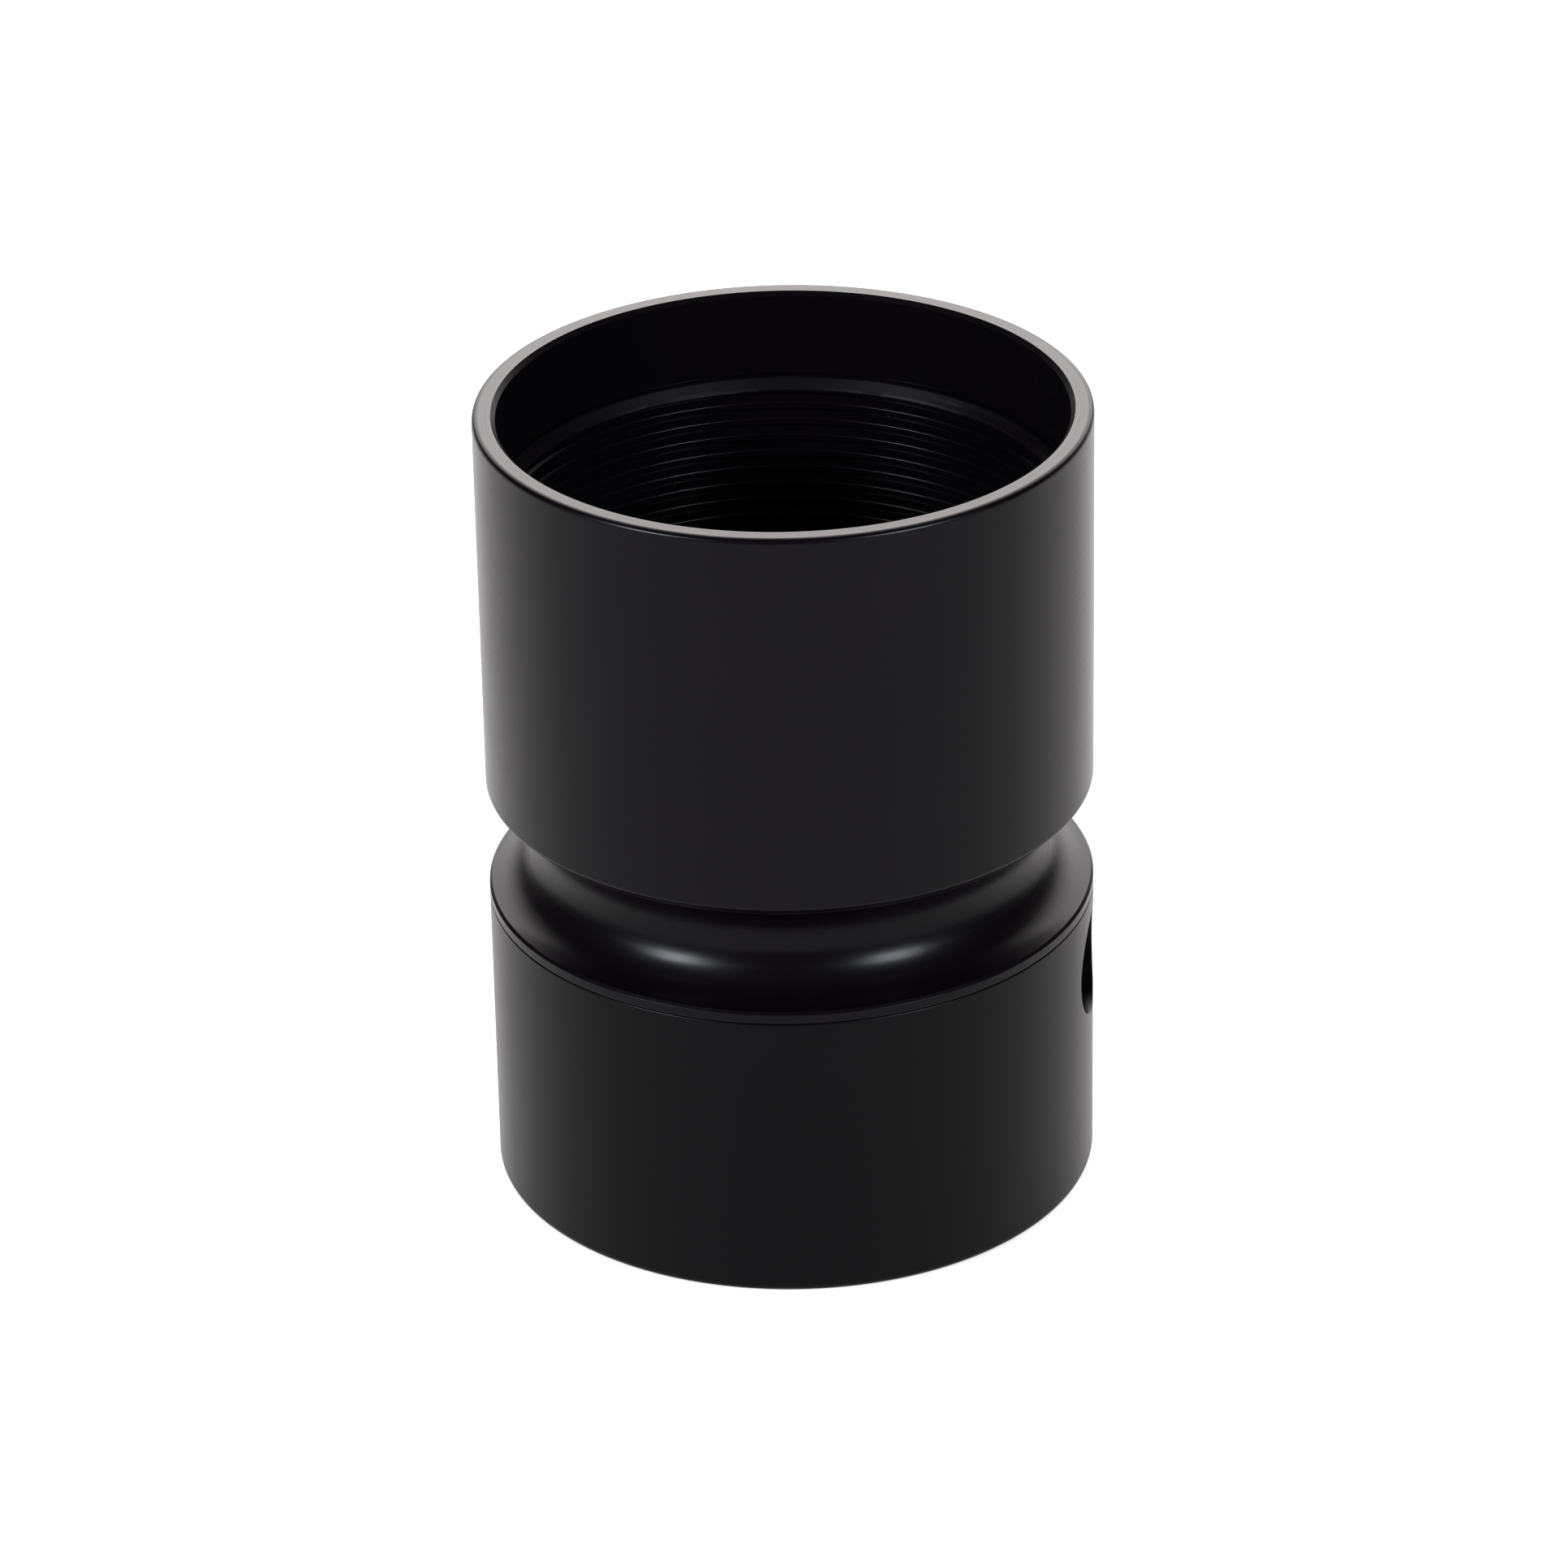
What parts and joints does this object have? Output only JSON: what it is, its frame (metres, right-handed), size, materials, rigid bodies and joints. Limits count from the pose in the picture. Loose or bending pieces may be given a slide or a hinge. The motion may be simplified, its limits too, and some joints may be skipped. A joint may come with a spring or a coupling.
{
  "type": "barlow lens",
  "caption": "Short cylindrical Barlow lens body with an open threaded mouth, a waist groove, an eyepiece socket with a recessed clamp screw and a screw-in lens cell.",
  "frame": {"origin": "centre of the flat bottom face, on the optical axis, at the eyepiece end", "axes": "+Z along the optical axis from the eyepiece end up to the open mouth at the telescope end; +X through the clamp screw hole"},
  "size_m": [0.0344, 0.0344, 0.0467],
  "materials": {
    "barrel_anodised": "satin black anodised, finely turned",
    "holder_anodised": "satin black anodised, finely turned",
    "cell_anodised": "matt black anodised",
    "ring_anodised": "matt black anodised",
    "crown_glass": "polished, coated",
    "flint_glass": "polished, coated",
    "screw_steel": "black oxide",
    "tip_nylon": "natural nylon"
  },
  "bodies": {
    "barrel": {"upper_barrel": "barrel_anodised", "eyepiece_holder": "holder_anodised"},
    "lens_group": {"crown_lens": "crown_glass", "flint_lens": "flint_glass"},
    "cell": {"lens_cell": "cell_anodised", "retaining_ring": "ring_anodised"},
    "pad": {"screw_tip": "tip_nylon"},
    "clamp": {"set_screw": "screw_steel"}
  },
  "joints": [
    {"name": "cell_travel", "type": "slide", "parent": "barrel", "child": "lens_group", "axis": [0, 0, 1], "range_m": [0, 0.0042]},
    {"name": "cell_turn", "type": "hinge", "parent": "lens_group", "child": "cell", "pos_m": [0, 0, 0.028], "axis": [0, 0, 1], "range_deg": [0, 2530]},
    {"name": "clamp_travel", "type": "slide", "parent": "barrel", "child": "pad", "axis": [-1, 0, 0], "range_m": [-0.003, 0.001]},
    {"name": "clamp_turn", "type": "hinge", "parent": "pad", "child": "clamp", "pos_m": [0.0146, 0, 0.0128], "axis": [-1, 0, 0], "range_deg": [-1086, 365]}
  ],
  "couplings": [
    {"joint": "cell_turn", "follows": "cell_travel", "rad_per_m": 10472},
    {"joint": "clamp_turn", "follows": "clamp_travel", "rad_per_m": 6283.2}
  ]
}
